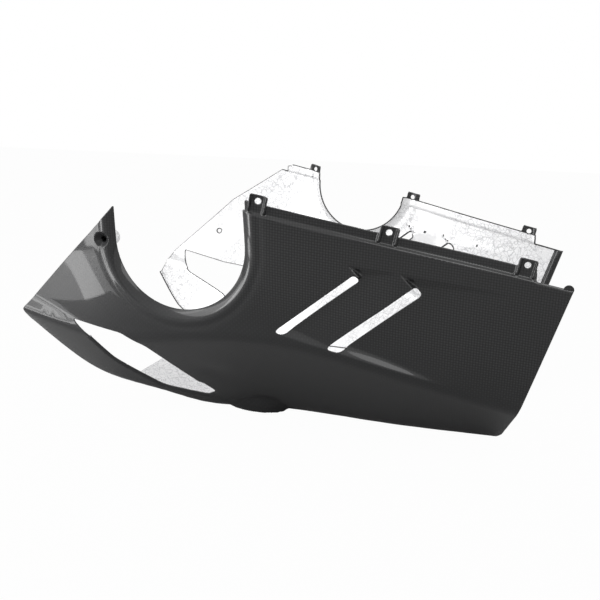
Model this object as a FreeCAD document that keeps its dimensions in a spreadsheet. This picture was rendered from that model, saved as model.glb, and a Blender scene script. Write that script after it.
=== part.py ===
import FreeCAD, Part
import os
import re
import Sketcher
from FreeCAD import Vector

# Belly pan of a sport motorcycle: one moulded carbon shell, lined with three bonded heat foils.
# X runs to the tail, Y to the right-hand side of the vehicle, Z up.  The origin is on the underside
# of the flat floor, on the centre plane.  The left flank has Y below 0.  Lengths are millimetres.

doc = FreeCAD.newDocument("BellyPan")
dims = doc.addObject("Spreadsheet::Sheet", "Dims")

# Sections of the hull, from the nose to the tail.  Each has its place along X, the height and half
# width of the floor, the height and half width of the ridge, the rise and step of the ledge above
# the ridge, the half width at the section's top, and the bilge radius between floor and flank.
STATION_SIZES = ("Along", "FloorHeight", "FloorHalf", "RidgeHeight", "RidgeHalf", "LedgeRise",
                 "LedgeStep", "TopHalf", "Bilge")
STATIONS = {
    "Nose": (-446, 118, 180, 132, 198, 22, -5, 206, 7),
    "Jowl": (-393, 60, 150, 121, 199, 13, -3, 213, 12),
    "Chin": (-340, 35, 141, 110, 201, 10, 1, 221, 18),
    "Prow": (-288, 18, 121, 111, 206, 10, 2, 229, 25),
    "Keel": (-235, 2.5, 104, 119, 210, 10, 2, 234, 30),
    "Belly": (-175, -0.3, 86, 126, 210, 11, 2, 232, 32),
    "Shoulder": (-115, -0.3, 79, 126, 205, 12, 2, 223, 32),
    "Waist": (0, -0.3, 83, 101, 183, 12, 3, 190, 32),
    "Stern": (100, -0.3, 78, 71, 152, 12, 3, 164, 32),
    "Tail": (206, -0.3, 68, 42, 124, 12, 4, 150, 30),
}
SIZES = {
    "Wall": 2.0, "Foil": 0.8, "Mitre": 0.41, "SectionTop": 316, "Crown": 6, "Reach": 330,
    # how far a cutting shape starts from the centre plane, and how far it goes past the outline
    "Near": 60, "Beyond": 40,
    # straight top line, with the joggled band that carries the tabs below it
    "TopHeight": 254.2, "TopSlope": 0.204, "BandHeight": 11.5, "Joggle": 3,
    "BandRear": 160, "LeftBandFront": -143, "RightBandFront": -239,
    # front edge of the two flanks, from the nose tip up
    "TipX": -441, "TipZ": 131, "BrowX": -424, "BrowZ": 150,
    "HornNeckX": -325, "HornNeckZ": 239, "HornTipX": -297, "HornTipZ": 267,
    "WingX": -330, "WingZ": 240, "CrestX": -249, "CrestZ": 293,
    # rear edge
    "TailX": 197, "HeelX": 156, "HeelZ": 62, "SoleX": 139, "SoleZ": 10, "SoleEndX": 131,
    # round cut-outs, with the turned-in lip
    "LeftCutX": -218.5, "LeftCutZ": 233.2, "LeftCutRadius": 77.5, "LeftCutHalf": 225.5, "LeftCutYaw": 0,
    "LeftCutLean": 5.4,
    "LeftCutFrontFlare": 4, "LeftCutRearFlare": -7,
    "RightCutX": -108, "RightCutZ": 275, "RightCutRadius": 71, "RightCutHalf": 221,
    "RightCutYaw": -10.6, "RightCutLean": 1, "RightCutFrontFlare": 0, "RightCutRearFlare": 4,
    "CutTop": 120, "LipWidth": 17, "LipOut": 2, "LipShoulder": 4.5, "LipShoulderDepth": 3,
    "LipDepth": 10, "LipSkew": 0.7, "LipTrim": 4, "LipReach": 110,
    # side outlets at the chin, each flank's with its own outline
    "OutletFrontX": -386, "OutletFrontZ": 129, "OutletBrowX": -300, "OutletBrowZ": 117,
    "OutletBendX": -274, "OutletBendZ": 102, "OutletTipX": -214, "OutletTipZ": 28,
    "OutletHeelX": -226, "OutletHeelZ": 22, "OutletSoleX": -282, "OutletSoleZ": 31,
    "OutletChinX": -330, "OutletChinZ": 73, "OutletCheekX": -350, "OutletCheekZ": 106,
    "FarOutletFrontX": -406, "FarOutletFrontZ": 151, "FarOutletBrowX": -340, "FarOutletBrowZ": 134,
    "FarOutletBendX": -296, "FarOutletBendZ": 128, "FarOutletTipX": -214, "FarOutletTipZ": 28,
    "FarOutletHeelX": -226, "FarOutletHeelZ": 22, "FarOutletSoleX": -282, "FarOutletSoleZ": 31,
    "FarOutletChinX": -326, "FarOutletChinZ": 83, "FarOutletCheekX": -404, "FarOutletCheekZ": 118,
    # louvres: two slanted slots, each with its rear panel stepped inward
    "SlotAngle": 39.2, "SlotOneX": -106, "SlotOneZ": 137, "SlotOneLength": 108,
    "SlotOneWidth": 9.5, "SlotTwoX": -47, "SlotTwoZ": 121, "SlotTwoLength": 115,
    "SlotTwoWidth": 13, "SlotRound": 3, "SlotTaper": 1.3, "PanelOneHalf": 200.8, "PanelOneYaw": 5.4,
    "PanelOneLean": 1.5, "PanelTwoHalf": 190.3, "PanelTwoYaw": 11.9, "PanelTwoLean": 4.1,
    "PanelRise": 12, "PanelOut": 30,
    "PanelSlope": 0.9, "FadeTopX": 145, "FadeTopZ": 189, "FadeLowX": 75, "FadeLowZ": 86,
    # tabs on the band
    "TabWidth": 20, "TabRise": 6.5, "RibRise": 9.5, "RibWidth": 2.6, "TabBore": 6.5,
    "TabLift": 2.6,
    "TabOneX": -126, "TabOneHalf": 225.2, "TabOneYaw": 9.6, "TabOneLean": 0.6,
    "TabTwoX": 8, "TabTwoHalf": 191.6, "TabTwoYaw": 17.1, "TabTwoLean": -1.8,
    "TabThreeX": 149, "TabThreeHalf": 157.6, "TabThreeYaw": 9.9, "TabThreeLean": 3,
    "FarTabOneX": -190, "FarTabOneHalf": 232.6, "FarTabOneYaw": 3.4, "FarTabOneLean": 1.2,
    "FarTabTwoX": -25, "FarTabTwoHalf": 200.1, "FarTabTwoYaw": 16.7, "FarTabTwoLean": -1.2,
    # bolt cup and boss on the left horn, plain hole and notch on the right wing
    "CupX": -313, "CupZ": 229, "CupHalf": 222.2, "CupRadius": 9, "CupDepth": 6, "CupBore": 6.5,
    "BossRadius": 8.5, "BossLength": 26, "EyeX": -351, "EyeZ": 186, "EyeBore": 6.5,
    "EyeHalf": 212.2, "EyeYaw": -8.4, "EyeLean": 7.8, "BoreReach": 12,
    # front notch of the floor, between the chin arms
    "NotchRearX": -333, "NotchRearHalf": 118, "NotchSideX": -352, "NotchSideHalf": 141,
    "NotchFrontX": -400, "NotchFrontHalf": 150, "NotchNoseX": -460, "NotchNoseHalf": 178,
    # low bulge on the left bilge
    "BulgeX": -170, "BulgeHalf": 82, "BulgeZ": 14, "BulgeLong": 40, "BulgeWide": 22,
    "BulgeTall": 30,
    # half-round bead inside the rear edge, and the knob where the left one ends
    "BeadRadius": 5.5, "BeadInset": 4.5, "BeadLowHalf": 140, "BeadTopHalf": 149,
    # how far the foils stay from the edges, and where they meet
    "FoilMargin": 3, "FoilLap": 12, "FoilSeamHeight": 34, "FoilSeamGap": 1.5, "FoilCutMargin": 6,
    "FoilSeamFront": 45, "FoilSeamNose": 45,
}
for station, values in STATIONS.items():
    for word, value in zip(STATION_SIZES, values):
        SIZES[station + word] = value
for row, (alias, value) in enumerate(SIZES.items(), 1):
    dims.set(f"A{row}", alias)
    dims.set(f"B{row}", str(value))
    dims.setAlias(f"B{row}", alias)
doc.recompute()


def sized(text):
    """Points every size named in an expression at its cell."""
    return re.sub(r"\b([A-Z]\w+)", r"Dims.\1", text)


def number(text):
    """Present value of an expression, used to start a sketch near its solution."""
    return float(dims.evalExpression(sized(text)))


def add(kind, name, **links):
    item = doc.addObject(kind, name)
    for word, value in links.items():
        setattr(item, word, value)
    return item


def place(item, x, y, z, yaw="0", pitch="0", roll="0"):
    item.setExpression("Placement", sized(
        f"placement(vector({x}; {y}; {z}); rotation({yaw}; {pitch}; {roll}))"))


def constrain(sketch, rules):
    """Adds the constraints; where a rule ends in an expression, that ties it to the sheet."""
    made, texts = [], []
    for kind, *ends in rules:
        text = ends.pop() if isinstance(ends[-1], str) else None
        if text:
            ends.append(number(text))
        made.append(Sketcher.Constraint(kind, *ends))
        texts.append(text)
    sketch.addConstraint(made)
    for index, text in enumerate(texts):
        if text:
            sketch.setExpression(f"Constraints[{index}]", sized(text))


def pin(geometry, end, across, up):
    """Two rules that hold one end of a line or arc at a place in the sketch."""
    return [("DistanceX", -1, 1, geometry, end, across), ("DistanceY", -1, 1, geometry, end, up)]


def polygon(name, corners):
    """Closed outline through corners that are given as pairs of expressions."""
    sketch = add("Sketcher::SketchObject", name)
    points = [Vector(number(a), number(b), 0) for a, b in corners]
    count = len(points)
    for i in range(count):
        sketch.addGeometry(Part.LineSegment(points[i], points[(i + 1) % count]), False)
    rules = []
    for i in range(count):
        rules += [("Coincident", i, 2, (i + 1) % count, 1)] + pin(i, 1, *corners[i])
    constrain(sketch, rules)
    return sketch


def side_prism(name, corners, side, x="0", z="0", tilt="0", near="0", far="Reach"):
    """Outline in side view, carried outward from near to far on one side of the vehicle."""
    sketch = polygon(name + "Sketch", corners)
    place(sketch, x, f"{side} * ({near})", z, pitch=tilt, roll="90")
    prism = add("Part::Extrusion", name, Base=sketch, DirMode="Custom", Dir=Vector(0, side, 0),
                Solid=True)
    prism.setExpression("LengthFwd", sized(f"({far}) - ({near})"))
    return prism


def fuse(name, *items):
    return add("Part::MultiFuse", name, Shapes=list(items), Refine=True)


def cut(name, base, tool):
    return add("Part::Cut", name, Base=base, Tool=tool, Refine=True)


def common(name, *items):
    return add("Part::MultiCommon", name, Shapes=list(items), Refine=True)


def mirrored(name, source):
    return add("Part::Mirroring", name, Source=source, Normal=Vector(0, 1, 0))


def section(name, station, inset):
    """Hull section: crowned flanks, a ledge above the ridge, slanted sides, a round bilge, a floor.

    Everything is moved inward by the inset, square to each side of the section.
    """
    s = station
    inset = f"({inset})"
    top = f"{s}TopHalf - {inset}"
    ledge = f"{s}RidgeHalf + {s}LedgeStep - {inset}"
    ledge_up = f"{s}RidgeHeight + {s}LedgeRise"
    ridge = f"{s}RidgeHalf - {inset}"
    ridge_up = f"{s}RidgeHeight + Mitre * {inset}"
    floor = f"{s}FloorHalf - Mitre * {inset}"
    floor_up = f"{s}FloorHeight + {inset}"
    flank = (f"(({top} - ({ledge})) ^ 2 + (SectionTop - ({ledge_up})) ^ 2) / (8 * Crown)"
             f" + Crown / 2 - {inset}")
    bilge = f"{s}Bilge - {inset}"

    sketch = add("Sketcher::SketchObject", name)
    place(sketch, f"{s}Along", "0", "0", yaw="90", roll="90")
    t, u, v, f = number(top), number(ledge), number(ridge), number(floor)
    tz, uz, vz, fz = number("SectionTop"), number(ledge_up), number(ridge_up), number(floor_up)
    bow = number("Crown")
    radius = number(bilge)
    slant = Vector(v - f, vz - fz, 0).normalize()
    reach = radius * (1 - slant.x) / slant.y
    middle = Vector(f - reach, fz + radius, 0)
    middle += (Vector(f, fz, 0) - middle).normalize() * radius

    def point(side, across, up):
        return Vector(side * across, up, 0)

    def ends(side):
        return (point(side, t, tz), point(side, (t + u) / 2 + bow, (tz + uz) / 2),
                point(side, u, uz), point(side, v, vz),
                point(side, f + slant.x * reach, fz + slant.y * reach),
                point(side, middle.x, middle.y), point(side, f - reach, fz))

    left, right = ends(-1), ends(1)
    line, arc = Part.LineSegment, Part.Arc
    for shape in (line(right[0], left[0]), arc(left[0], left[1], left[2]), line(left[2], left[3]),
                  line(left[3], left[4]), arc(left[4], left[5], left[6]), line(left[6], right[6]),
                  arc(right[6], right[5], right[4]), line(right[4], right[3]),
                  line(right[3], right[2]), arc(right[2], right[1], right[0])):
        sketch.addGeometry(shape, False)
    smooth = (3, 4, 5, 6)
    rules = [("Tangent" if i in smooth else "Coincident", i, 2, (i + 1) % 10, 1)
             for i in range(10)]
    rules += [("Horizontal", 5), ("DistanceY", -1, 1, 5, 1, floor_up)]
    for side, top_end, ledge_end, ridge_end, slanted, flank_arc, bilge_arc in (
            (-1, (0, 2), (2, 1), (3, 1), 3, 1, 4), (1, (0, 1), (8, 2), (7, 2), 7, 9, 6)):
        rules += pin(*top_end, f"{side} * ({top})", "SectionTop")
        rules += pin(*ledge_end, f"{side} * ({ledge})", ledge_up)
        rules += pin(*ridge_end, f"{side} * ({ridge})", ridge_up)
        corner = sketch.addGeometry(Part.Point(point(side, f, fz)), True)
        rules += pin(corner, 1, f"{side} * ({floor})", floor_up)
        rules += [("PointOnObject", corner, 1, slanted), ("Radius", flank_arc, flank),
                  ("Radius", bilge_arc, bilge)]
    constrain(sketch, rules)
    return sketch


def hull(name, inset):
    """Solid through all sections, straight from each one to the next, moved inward by the inset."""
    sections = [section(name + station, station, inset) for station in STATIONS]
    return add("Part::Loft", name, Sections=sections, Solid=True, Ruled=True)


TOP = "TopHeight - TopSlope * ({x})"
STEP = "TopHeight - BandHeight - TopSlope * ({x})"


def top_at(x, below="0"):
    return TOP.format(x=x) + f" - ({below})"


def step_at(x, below="0"):
    return STEP.format(x=x) + f" - ({below})"


# Side view of the shell
rear_edge = [("TailX", step_at("TailX")), ("HeelX", "HeelZ"), ("SoleX", "SoleZ"), ("SoleEndX", "0")]
left_side = side_prism("LeftSide", [
    ("TipX - Beyond / 2", "0"), ("TipX", "TipZ"), ("BrowX", "BrowZ"), ("HornNeckX", "HornNeckZ"),
    ("HornTipX", "HornTipZ"), ("LeftBandFront", step_at("LeftBandFront"))] + rear_edge, -1)
right_side = side_prism("RightSide", [
    ("TipX - Beyond / 2", "0"), ("TipX", "TipZ"), ("BrowX", "BrowZ"), ("WingX", "WingZ"), ("CrestX", "CrestZ"),
    ("CrestX", step_at("CrestX")), ("RightBandFront", step_at("RightBandFront"))] + rear_edge, 1)
lower_side = fuse("LowerSide", left_side, right_side)


def band(name, front, side):
    return side_prism(name, [
        (front, step_at(front)), (front, top_at(front)), ("BandRear", top_at("BandRear")),
        ("BandRear", step_at("BandRear"))], side)


def square_bore(name, word, up, inset, side, diameter):
    """Round hole square to the flank, at a place with a half width, a yaw and a lean of its own."""
    bore = add("Part::Cylinder", name)
    bore.setExpression("Radius", sized(f"({diameter}) / 2"))
    bore.setExpression("Height", sized("2 * BoreReach"))
    place(bore, f"{word}X - BoreReach * sin({word}Yaw)",
          f"{side} * ({word}Half - ({inset}) - BoreReach * cos({word}Yaw))",
          f"{up} + BoreReach * sin({word}Lean)",
          yaw=f"{-side} * {word}Yaw", roll=f"{-side} * (90 + {word}Lean)")
    return bore


TABS = (("TabOne", "TabOne", -1), ("TabTwo", "TabTwo", -1), ("TabThree", "TabThree", -1),
        ("FarTabOne", "FarTabOne", 1), ("FarTabTwo", "FarTabTwo", 1),
        ("FarTabThree", "TabThree", 1))
plates, ribs, bores = [], [], []
for name, word, side in TABS:
    x = word + "X"
    up = top_at(x, "-TabLift")
    foot = "-BandHeight * cos(atan(TopSlope)) - TabLift"
    half = "TabWidth / 2"
    plates.append(side_prism(name + "Plate", [
        ("-" + half, foot), (half, foot), (half, "TabRise"), ("-" + half, "TabRise")],
        side, x, up, "atan(TopSlope)"))
    for end, inner, outer in (("Front", "-TabWidth / 2 + RibWidth", "-TabWidth / 2"),
                              ("Rear", "TabWidth / 2 - RibWidth", "TabWidth / 2")):
        ribs.append(side_prism(name + end + "Rib", [
            (inner, foot), (inner, "RibRise"), (outer, "RibRise"), (outer, foot)],
            side, x, up, "atan(TopSlope)"))
    bores.append(square_bore(name + "Bore", word, up, "Joggle + Wall / 2", side, "TabBore"))
upper_side = fuse("UpperSide", band("LeftBand", "LeftBandFront", -1),
                  band("RightBand", "RightBandFront", 1), *plates)
ribs_side = fuse("RibsSide", *ribs)


# Round cut-outs with a turned-in lip
def cut_section(name, word, side, depth, grow):
    """Half circle that opens upward, on a plane that lies along the flank."""
    sketch = add("Sketcher::SketchObject", name)
    radius = f"{word}Radius + {grow}"
    front = f"-({word}Radius + {word}FrontFlare + {grow})"
    rear = f"{word}Radius + {word}RearFlare + {grow}"
    r, left, right, up = number(radius), number(front), number(rear), number("CutTop")
    points = (Vector(r, 0, 0), Vector(right, up, 0), Vector(left, up, 0), Vector(-r, 0, 0))
    sketch.addGeometry(Part.Arc(points[3], Vector(0, -r, 0), points[0]), False)
    for a, b in zip(points, points[1:]):
        sketch.addGeometry(Part.LineSegment(a, b), False)
    rules = [("Coincident", i, 2, (i + 1) % 4, 1) for i in range(4)]
    rules += [("Coincident", 0, 3, -1, 1), ("PointOnObject", 0, 1, -1),
              ("PointOnObject", 0, 2, -1), ("Radius", 0, radius)]
    constrain(sketch, rules + pin(1, 2, rear, "CutTop") + pin(2, 2, front, "CutTop"))
    place(sketch, word + "X", f"{side} * ({word}Half - ({depth}))", word + "Z",
          yaw=word + "Yaw", roll=f"90 - {side} * {word}Lean")
    return sketch


def lip_cutter(name, word, side, inset):
    """Flared mouth and straight hole: what the cut-out takes from a surface set in by the inset."""
    mouth = cut_section(name + "Mouth", word, side, f"-LipOut + LipSkew * ({inset})",
                        f"LipWidth + LipSkew * ({inset})")
    shoulder = cut_section(name + "Shoulder", word, side, f"LipShoulderDepth + LipSkew * ({inset})",
                           f"LipShoulder + LipSkew * ({inset})")
    throat = cut_section(name + "Throat", word, side, "LipDepth", inset)
    flare = add("Part::Loft", name + "Flare", Sections=[mouth, shoulder, throat], Solid=True,
                Ruled=True)
    bore = add("Part::Extrusion", name + "Hole", Base=throat, DirMode="Normal", Solid=True)
    bore.setExpression("LengthFwd", sized("LipReach"))
    bore.setExpression("LengthRev", sized("LipReach"))
    return fuse(name, flare, bore)


def lip_trim(name, word, side):
    """Clears what the lip's tube would leave further in than the lip is deep."""
    ring = cut_section(name + "Ring", word, side, "LipDepth + LipTrim", "2 * Wall")
    tube = add("Part::Extrusion", name, Base=ring, DirMode="Normal", Solid=True)
    tube.setExpression("LengthFwd", sized("LipReach" if side > 0 else "0"))
    tube.setExpression("LengthRev", sized("0" if side > 0 else "LipReach"))
    return tube


CUTS = (("LeftCut", -1), ("RightCut", 1))


# Louvre panels, stepped inward behind each slot
def slot_point(slot, along):
    return (f"{slot}X + ({along}) * cos(SlotAngle)", f"{slot}Z + ({along}) * sin(SlotAngle)")


def panel(name, word, corners, inset):
    """Recess with a flat tilted bottom; its top and bottom sides slope, its slot side is square."""
    x0, z0 = corners[0]

    def level(tag, out, grow):
        placed = []
        for (x, z), up in zip(corners, (-1, 1, 1, -1)):
            placed.append((f"({x} - ({x0})) / cos({word}Yaw)",
                           f"({z} - ({z0})) / cos({word}Lean) + {up} * ({grow})"))
        sketch = polygon(name + tag, placed)
        place(sketch, x0, f"-({word}Half - {out}) ", z0, yaw=word + "Yaw", roll=f"90 + {word}Lean")
        return sketch

    deep = level("Bottom", f"({inset})", f"Mitre * ({inset})")
    wide = level("Mouth", f"({inset}) + (-PanelOut)", f"Mitre * ({inset}) + PanelOut * PanelSlope")
    return add("Part::Loft", name, Sections=[deep, wide], Solid=True, Ruled=True)


PANELS = (
    ("PanelOne", [slot_point("SlotOne", "0"), slot_point("SlotOne", "SlotOneLength + PanelRise"),
                  slot_point("SlotTwo", "SlotTwoLength"), slot_point("SlotTwo", "0")]),
    ("PanelTwo", [slot_point("SlotTwo", "0"), slot_point("SlotTwo", "SlotTwoLength + PanelRise"),
                  ("FadeTopX", "FadeTopZ"), ("FadeLowX", "FadeLowZ")]),
)


def surface(name, inset, bottom):
    """Everything inside the moulded surface that lies the inset below the outer one."""
    low = hull(name + "Low", inset)
    high = hull(name + "High", f"Joggle + {inset}")
    bulge = add("Part::Ellipsoid", name + "Bulge")
    for prop, word in (("Radius1", "BulgeTall"), ("Radius2", "BulgeLong"), ("Radius3", "BulgeWide")):
        bulge.setExpression(prop, sized(f"{word} - ({inset})"))
    place(bulge, "BulgeX", "-BulgeHalf", "BulgeZ")
    if inset == "0":
        body = fuse(name + "Body", common(name + "Below", low, lower_side),
                    common(name + "Above", high, upper_side), common(name + "Ribs", low, ribs_side),
                    common(name + "Swell", bulge, left_side))
    else:
        front, rear = "TipX - Beyond", "TailX + Beyond"
        rooms = []
        for tag, low_line, high_line in (
                ("Under", (bottom, bottom), (step_at(front, inset), step_at(rear, inset))),
                ("Over", (step_at(front, inset), step_at(rear, inset)),
                 ("SectionTop + Beyond", "SectionTop + Beyond"))):
            block = [(front, low_line[0]), (front, high_line[0]), (rear, high_line[1]),
                     (rear, low_line[1])]
            sketch = polygon(name + tag + "Sketch", block)
            place(sketch, "0", "0", "0", roll="90")
            room = add("Part::Extrusion", name + tag, Base=sketch, DirMode="Normal", Solid=True,
                       Symmetric=True)
            room.setExpression("LengthFwd", sized("2 * Reach"))
            rooms.append(room)
        body = fuse(name + "Body", common(name + "Below", low, rooms[0]),
                    common(name + "Above", high, rooms[1]),
                    common(name + "Swell", bulge, rooms[0]))
    tools = [lip_cutter(name + word, word, side, inset) for word, side in CUTS]
    for word, corners in PANELS:
        recess = panel(name + word, word, corners, inset)
        tools += [recess, mirrored(name + word + "Far", recess)]
    return cut(name, body, fuse(name + "Tools", *tools))


outer = surface("Outer", "0", "0")
inner = surface("Inner", "Wall", "Wall")
lining = surface("Lining", "Wall + Foil", "Wall + Foil")
skin = cut("Skin", outer, inner)


# Openings through the flanks
def slot_prism(name, slot, side, grow):
    """Slanted slot, pointed at its low end, widened all round by grow."""
    half = f"({slot}Width / 2 + {grow})"
    end = f"({slot}Length + {grow})"
    shoulder = f"{slot}Width * SlotTaper"
    return side_prism(name, [
        (f"-({grow}) - {slot}Width / 2", "0"), (shoulder, "-" + half),
        (f"{end} - SlotRound", "-" + half), (end, f"-({half} - SlotRound)"),
        (end, f"{half} - SlotRound"), (f"{end} - SlotRound", half), (shoulder, half)],
        side, slot + "X", slot + "Z", "-SlotAngle", near="Near")


OUTLET = ("Front", "Brow", "Bend", "Tip", "Heel", "Sole", "Chin", "Cheek")


def outlet_prism(name, side, grow=None):
    """Long side outlet behind the chin, from its front corner round by the top edge."""
    word = "Outlet" if side < 0 else "FarOutlet"
    corners = [(f"{word}{w}X", f"{word}{w}Z") for w in OUTLET]
    prism = side_prism(name, corners, side, near="Near")
    if grow:
        wider = add("Part::Offset2D", name + "Wider", Source=prism.Base, Join=2)
        wider.setExpression("Value", sized(grow))
        prism.Base = wider
    return prism


def side_bore(name, x, z, diameter, side):
    bore = add("Part::Cylinder", name)
    bore.setExpression("Radius", sized(f"({diameter}) / 2"))
    bore.setExpression("Height", sized("Reach"))
    place(bore, x, "0", z, roll=str(-90 * side))
    return bore


notch_corners = [(f"Notch{w}X", f"Notch{w}Half") for w in ("Rear", "Side", "Front", "Nose")]
notch_sketch = polygon("NotchSketch", notch_corners + [
    (x, "-" + half) for x, half in reversed(notch_corners)])
notch = add("Part::Extrusion", "Notch", Base=notch_sketch, DirMode="Normal", Solid=True)
notch.setExpression("LengthFwd", sized("Reach / 2"))

openings = [notch]
for side, tag in ((-1, "Left"), (1, "Right")):
    openings.append(outlet_prism(tag + "Outlet", side))
    for slot in ("SlotOne", "SlotTwo"):
        openings.append(slot_prism(tag + slot, slot, side, "0"))
for word, side in CUTS:
    openings.append(lip_trim(word + "Trim", word, side))
openings += bores
openings.append(square_bore("EyeHole", "Eye", "EyeZ", "Wall / 2", 1, "EyeBore"))
pierced = cut("Pierced", skin, fuse("Openings", *openings))

# Bolt cup in the left horn, with its boss behind
boss_rod = add("Part::Cylinder", "BossRod")
boss_rod.setExpression("Radius", "Dims.BossRadius")
boss_rod.setExpression("Height", sized("BossLength"))
place(boss_rod, "CupX", "-CupHalf + Wall / 2", "CupZ", roll="-90")
boss = common("Boss", boss_rod, outer)
dish = add("Part::Cone", "CupDish")
dish.setExpression("Radius1", sized("2 * CupRadius - CupBore / 2"))
dish.setExpression("Radius2", sized("CupBore / 2"))
dish.setExpression("Height", sized("2 * CupDepth"))
place(dish, "CupX", "-CupHalf - CupDepth", "CupZ", roll="-90")
cup_bore = side_bore("CupHole", "CupX", "CupZ", "CupBore", -1)

# Half-round bead inside each rear edge.  Its axis lies on the flank's outer surface, from the heel
# up to the top edge; on the left it ends in a knob that stands above the edge.
bead_top = step_at("TailX")
bead_rod = add("Part::Cylinder", "BeadRod")
bead_rod.setExpression("Radius", "Dims.BeadRadius")
bead_rod.setExpression("Height", sized("Reach / 2"))
place(bead_rod, "HeelX - BeadInset", "-BeadLowHalf", "HeelZ",
      yaw="-atan((BeadTopHalf - BeadLowHalf) / (TailX - HeelX))",
      pitch=f"atan(hypot(TailX - HeelX; BeadTopHalf - BeadLowHalf) / ({bead_top} - HeelZ))")
knob_ball = add("Part::Sphere", "KnobBall")
knob_ball.setExpression("Radius", "Dims.BeadRadius")
place(knob_ball, "TailX - BeadInset", "-BeadTopHalf", bead_top)
whole_hull = doc.getObject("OuterLow")
bead = common("Bead", bead_rod, whole_hull, left_side)
knob = common("Knob", knob_ball, whole_hull)

shell_body = fuse("ShellBody", pierced, boss, bead, knob, mirrored("FarBead", bead))
shell = cut("Shell", shell_body, fuse("CupTools", dish, cup_bore))
shell.Label = "pan_shell"

# Heat foils, bonded to the inside of the shell

def inset_side(name, prism):
    """The same side view, moved in from its edges by the foil margin."""
    smaller = add("Part::Offset2D", name + "Inset", Source=prism.Base)
    smaller.setExpression("Value", sized("-FoilMargin"))
    copy = add("Part::Extrusion", name, Base=smaller, DirMode="Custom", Dir=prism.Dir, Solid=True)
    copy.setExpression("LengthFwd", sized("Reach"))
    return copy


def foil_band(name, front, side):
    x0, x1 = f"{front} + FoilMargin", "BandRear - FoilMargin"
    return side_prism(name, [(x0, step_at(x0, "FoilLap")), (x0, top_at(x0, "Joggle")),
                             (x1, top_at(x1, "Joggle")), (x1, step_at(x1, "FoilLap"))], side)


notch_wider = add("Part::Offset2D", "NotchWider", Source=notch_sketch, Join=2)
notch_wider.setExpression("Value", sized("FoilMargin / 2"))
foil_notch = add("Part::Extrusion", "FoilNotch", Base=notch_wider, DirMode="Custom",
                 Dir=Vector(0, 0, 1), Solid=True)
foil_notch.setExpression("LengthFwd", sized("Reach / 2"))
foils = []
for tag, prism, front, side in (("Left", left_side, "LeftBandFront", -1),
                                ("Right", right_side, "RightBandFront", 1)):
    region = fuse(tag + "FoilSide", inset_side(tag + "FoilInset", prism),
                  foil_band(tag + "FoilBand", front, side))
    below = side_prism(tag + "FoilBelow", [
        ("TipX - Beyond", "0"), ("TipX - Beyond", "FoilSeamNose"), ("NotchRearX", "FoilSeamFront"),
        ("KeelAlong", "FoilSeamHeight"), ("TailX + Beyond", "FoilSeamHeight"),
        ("TailX + Beyond", "0")],
        side)
    clear = "(BeadInset + BeadRadius + FoilSeamGap)"
    strip = side_prism(tag + "FoilBead", [
        (f"HeelX - {clear}", "HeelZ - FoilSeamGap"), (f"TailX - {clear}", bead_top),
        (f"TailX - {clear}", "SectionTop"), ("TailX", "SectionTop"), ("TailX", "HeelZ - FoilSeamGap")],
        side)
    word = tag + "Cut"
    ring = cut_section(tag + "FoilRing", word, side, "0", "Wall + Foil + FoilCutMargin")
    mouth = add("Part::Extrusion", tag + "FoilMouth", Base=ring, DirMode="Normal", Solid=True,
                Symmetric=True)
    mouth.setExpression("LengthFwd", sized("Reach"))
    holes = [below, strip, mouth, outlet_prism(tag + "FoilOutlet", side, "FoilCutMargin"), foil_notch]
    for slot in ("SlotOne", "SlotTwo"):
        holes.append(slot_prism(tag + "Foil" + slot, slot, side, "FoilCutMargin / 2"))
    if side < 0:
        holes.append(side_bore("FoilBoss", "CupX", "CupZ", "2 * BossRadius + FoilMargin", side))
    else:
        holes.append(square_bore("FoilEye", "Eye", "EyeZ", "Wall / 2", side,
                                 "EyeBore + FoilCutMargin"))
    foils.append(("heat_foil_" + tag.lower(), region, fuse(tag + "FoilHoles", *holes)))

heel_slope = "(HeelX - SoleX) / (HeelZ - SoleZ)"
floor_corners = [
    ("NotchRearX + FoilMargin", "0"), ("NotchRearX + FoilMargin", "FoilSeamFront - FoilSeamGap"),
    ("KeelAlong", "FoilSeamHeight - FoilSeamGap"),
    (f"SoleX + (FoilSeamHeight - SoleZ) * {heel_slope} - 2 * FoilMargin",
     "FoilSeamHeight - FoilSeamGap"), ("SoleEndX - FoilMargin", "0")]
floor_side = fuse("FloorFoilSide", side_prism("FloorFoilLeft", floor_corners, -1),
                  side_prism("FloorFoilRight", floor_corners, 1))
outlet_rooms = [outlet_prism(f"Floor{tag}Outlet", side, "FoilCutMargin")
                for tag, side in (("Left", -1), ("Right", 1))]
foils.append(("heat_foil_floor", floor_side, fuse("FloorFoilHoles", *outlet_rooms)))

# The foil is thinner than the slack that a document boolean allows on a part this large, so each
# sheet is cut here with no slack, from solids that the document keeps.
doc.recompute()
liner = inner.Shape.cut(lining.Shape)
sheets = []
for label, region, holes in foils:
    sheet = add("Part::Feature", label, Shape=liner.common(region.Shape).cut(holes.Shape))
    sheet.Label = label
    sheets.append(sheet)
doc.recompute()
for item in doc.Objects:
    if "Invalid" in item.State or "Error" in item.State:
        raise RuntimeError(f"{item.Name} failed: {item.State}")
os.makedirs("parts", exist_ok=True)
for item in [shell] + sheets:
    shape = item.Shape
    if shape.isNull() or not shape.isValid() or not shape.Solids:
        raise RuntimeError(f"{item.Label} has no valid solid")
    box = shape.optimalBoundingBox()
    print(f"{item.Label}: {len(shape.Solids)} solid(s), {shape.Volume / 1000:.1f} cm3, "
          f"X {box.XMin:.1f}..{box.XMax:.1f}, Y {box.YMin:.1f}..{box.YMax:.1f}, "
          f"Z {box.ZMin:.1f}..{box.ZMax:.1f}")
    shape.exportStep(f"parts/{item.Label}.step")
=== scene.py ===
import math
import bmesh
import bpy
import numpy as np
from mathutils import Matrix, Vector


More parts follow.
